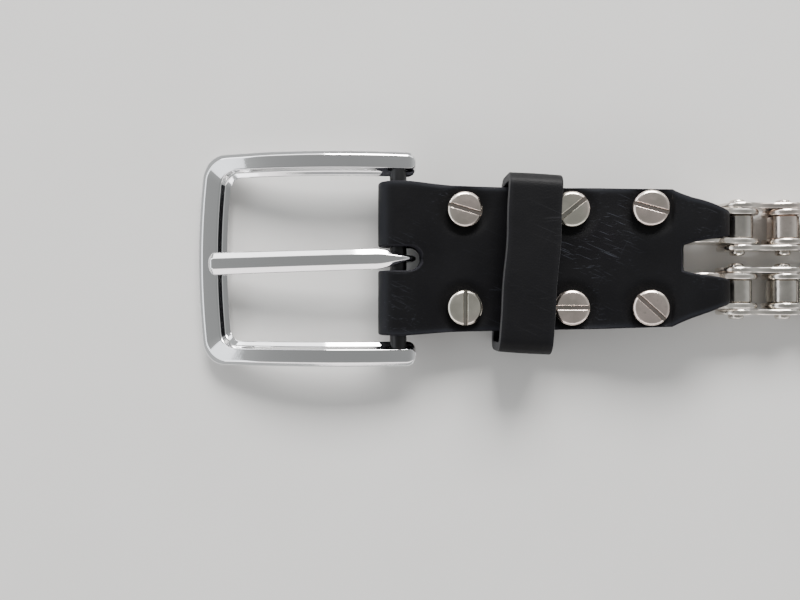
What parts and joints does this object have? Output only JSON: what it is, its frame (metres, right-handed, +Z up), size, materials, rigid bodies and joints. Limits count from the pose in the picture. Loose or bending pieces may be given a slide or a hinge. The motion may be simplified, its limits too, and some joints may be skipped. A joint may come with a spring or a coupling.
{
  "type": "chain belt",
  "caption": "Waist belt with a heel-bar buckle and prong, leather ends with a keeper and slotted screws, and parallel roller chain between them.",
  "frame": {"origin": "centre of the bounding box in plan, at the surface that the belt lies on", "axes": "+X along the belt from the buckle to the tail, +Z up, the belt's face side up"},
  "size_m": [0.9554, 0.057, 0.0175],
  "materials": {
    "chrome": "polished chrome plate",
    "strap_leather": "black, waxed, lightly scratched, with burnished edges",
    "keeper_leather": "black, dull, with a rough grey cut edge",
    "screw_nickel": "satin nickel plate, warm grey",
    "chain_nickel": "bright nickel plate, warm grey"
  },
  "bodies": {
    "belt": {"front_strap": "strap_leather", "tail_strap": "strap_leather", "keeper_loop": "keeper_leather", "front_screw_1": "screw_nickel", "front_screw_post_1": "screw_nickel", "front_screw_2": "screw_nickel", "front_screw_post_2": "screw_nickel", "front_screw_3": "screw_nickel", "front_screw_post_3": "screw_nickel", "front_screw_4": "screw_nickel", "front_screw_post_4": "screw_nickel", "front_screw_5": "screw_nickel", "front_screw_post_5": "screw_nickel", "front_screw_6": "screw_nickel", "front_screw_post_6": "screw_nickel", "tail_screw_1": "screw_nickel", "tail_screw_post_1": "screw_nickel", "tail_screw_2": "screw_nickel", "tail_screw_post_2": "screw_nickel", "tail_screw_3": "screw_nickel", "tail_screw_post_3": "screw_nickel", "tail_screw_4": "screw_nickel", "tail_screw_post_4": "screw_nickel", "strand_a_link_01": "chain_nickel", "strand_a_link_02": "chain_nickel", "strand_a_link_03": "chain_nickel", "strand_a_link_04": "chain_nickel", "strand_a_link_05": "chain_nickel", "strand_a_link_15": "chain_nickel", "strand_a_link_25": "chain_nickel", "strand_a_link_35": "chain_nickel", "strand_a_link_45": "chain_nickel", "strand_a_link_46": "chain_nickel", "strand_a_link_47": "chain_nickel", "strand_a_link_48": "chain_nickel", "strand_a_link_49": "chain_nickel", "strand_a_links_06_14": "chain_nickel", "strand_a_links_16_24": "chain_nickel", "strand_a_links_26_34": "chain_nickel", "strand_a_links_36_44": "chain_nickel", "strand_b_link_01": "chain_nickel", "strand_b_link_02": "chain_nickel", "strand_b_link_03": "chain_nickel", "strand_b_link_04": "chain_nickel", "strand_b_link_05": "chain_nickel", "strand_b_link_15": "chain_nickel", "strand_b_link_25": "chain_nickel", "strand_b_link_35": "chain_nickel", "strand_b_link_45": "chain_nickel", "strand_b_link_46": "chain_nickel", "strand_b_link_47": "chain_nickel", "strand_b_link_48": "chain_nickel", "strand_b_link_49": "chain_nickel", "strand_b_links_06_14": "chain_nickel", "strand_b_links_16_24": "chain_nickel", "strand_b_links_26_34": "chain_nickel", "strand_b_links_36_44": "chain_nickel"},
    "buckle": {"buckle_frame": "chrome"},
    "prong": {"prong": "chrome"}
  },
  "joints": [
    {"name": "frame_hinge", "type": "hinge", "parent": "belt", "child": "buckle", "pos_m": [-0.4231, 0, 0.008], "axis": [0, 1, 0], "range_deg": [-30, 20]},
    {"name": "prong_hinge", "type": "hinge", "parent": "buckle", "child": "prong", "pos_m": [-0.4231, 0, 0.008], "axis": [0, 1, 0], "range_deg": [0, 70]}
  ]
}
